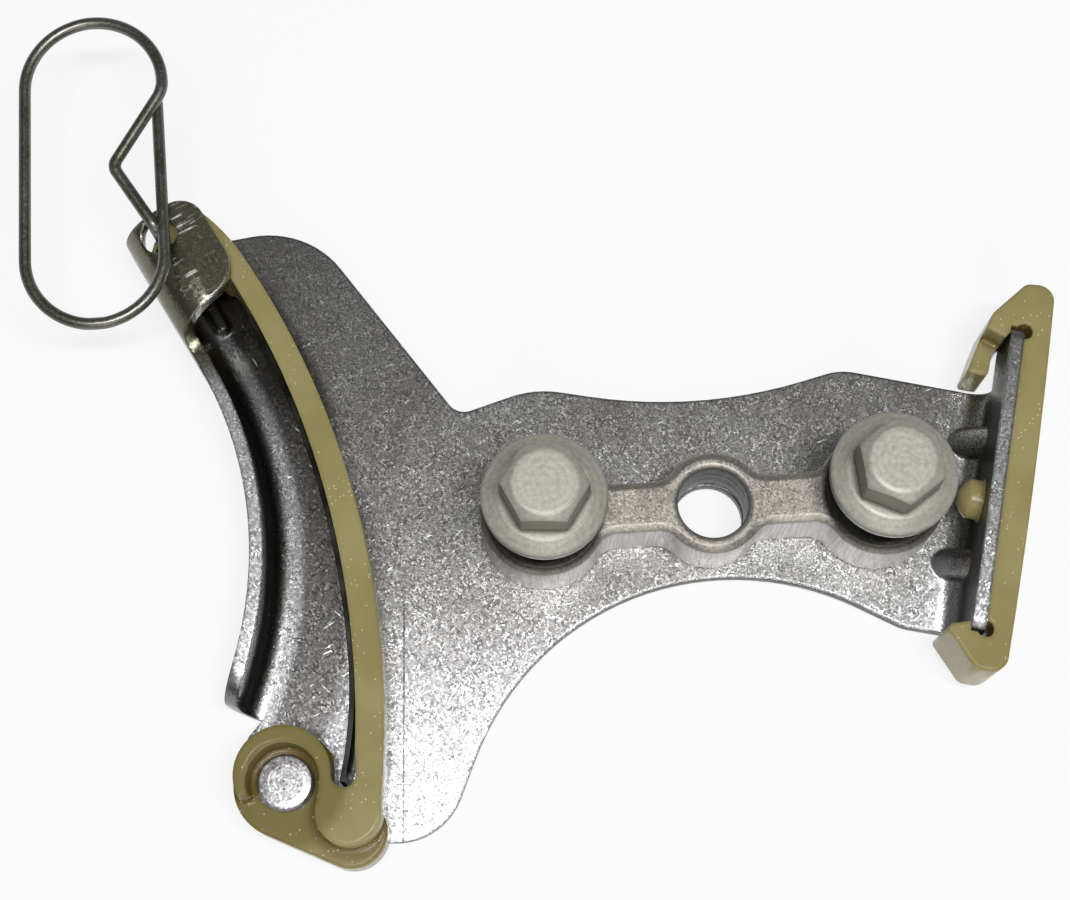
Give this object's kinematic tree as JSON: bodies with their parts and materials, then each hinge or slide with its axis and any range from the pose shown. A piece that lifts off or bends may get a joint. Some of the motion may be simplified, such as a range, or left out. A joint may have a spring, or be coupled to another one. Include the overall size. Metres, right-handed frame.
{
  "type": "timing chain tensioner",
  "caption": "Folded steel engine bracket with a pivoted leaf-sprung chain tensioner shoe, its wire lock clip, a fixed chain guide and a spacer block with flange bolts.",
  "frame": {"origin": "axis of the spacer block's centre bore, at the underside of the bracket's sheet", "axes": "+Z along the bolts towards their heads, +X along the line of the bolts from the tensioner shoe to the fixed guide"},
  "size_m": [0.1387, 0.1166, 0.0282],
  "materials": {
    "steel_sheet": "tumbled cold-formed sheet",
    "sintered_block": "sintered, steam treated, with a striated side wall",
    "bolt_coating": "matte zinc flake",
    "nylon": "translucent natural polyamide",
    "spring_steel": "dark blued strip",
    "pin_steel": "bright turned steel",
    "clip_wire": "drawn spring wire"
  },
  "bodies": {
    "frame": {"bracket": "steel_sheet", "spacer_block": "sintered_block", "pivot_pin": "pin_steel", "guide_shoe": "nylon", "bolt_left": "bolt_coating", "bolt_right": "bolt_coating"},
    "shoe": {"tensioner_blade": "nylon", "leaf_spring": "spring_steel"},
    "clip": {"locking_clip": "clip_wire"}
  },
  "joints": [
    {"name": "clip_pull", "type": "slide", "parent": "frame", "child": "clip", "axis": [0, 0, 1], "range_m": [0, 0.012]},
    {"name": "shoe_swing", "type": "hinge", "parent": "frame", "child": "shoe", "pos_m": [-0.0579, -0.0331, 0.0018], "axis": [0, 0, -1], "range_deg": [0, 4.5]}
  ],
  "couplings": [
    {"joint": "shoe_swing", "follows": "clip_pull", "rad_per_m": 6.5}
  ]
}
